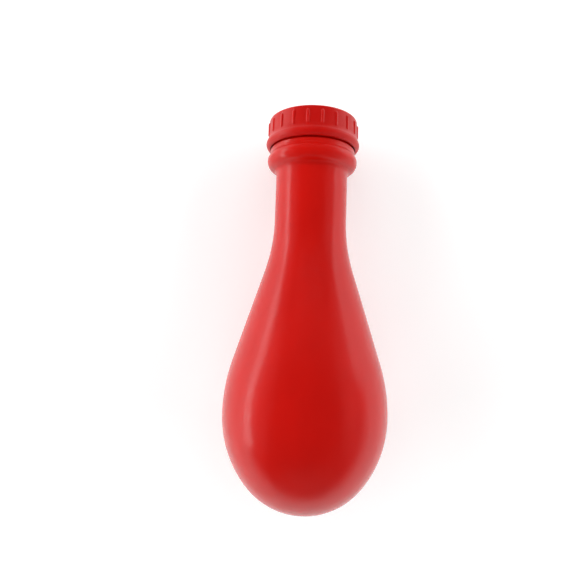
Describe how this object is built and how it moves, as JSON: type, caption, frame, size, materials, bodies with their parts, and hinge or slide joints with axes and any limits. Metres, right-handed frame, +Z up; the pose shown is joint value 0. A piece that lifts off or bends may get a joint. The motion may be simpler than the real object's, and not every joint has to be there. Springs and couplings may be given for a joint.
{
  "type": "urine bottle",
  "caption": "Red plastic urine bottle with a round pear-shaped bulb, straight neck with a bead, and a ribbed screw cap with a sealing liner, lying on its side.",
  "frame": {"origin": "on the floor, under the middle of the lying bottle's bounding box", "axes": "+Y runs along the bottle from the round base to the screw cap, +X to the right, +Z up; the bottle's own axis slopes down towards the cap"},
  "size_m": [0.107, 0.2622, 0.1075],
  "materials": {
    "bottle_plastic": "satin, slightly translucent blow-moulded polyethylene",
    "cap_plastic": "satin moulded polypropylene",
    "liner_foam": "matte polyethylene foam"
  },
  "bodies": {
    "bottle": {"bottle_body": "bottle_plastic"},
    "liner": {"cap_liner": "liner_foam"},
    "cap": {"screw_cap": "cap_plastic"}
  },
  "joints": [
    {"name": "cap_lift", "type": "slide", "parent": "bottle", "child": "liner", "axis": [0, 0.9928, -0.1196], "range_m": [0, 0.06]},
    {"name": "cap_turn", "type": "hinge", "parent": "liner", "child": "cap", "pos_m": [0, 0.10743, 0.03274], "axis": [0, 0.9928, -0.1196], "range_deg": [0, 360]}
  ]
}
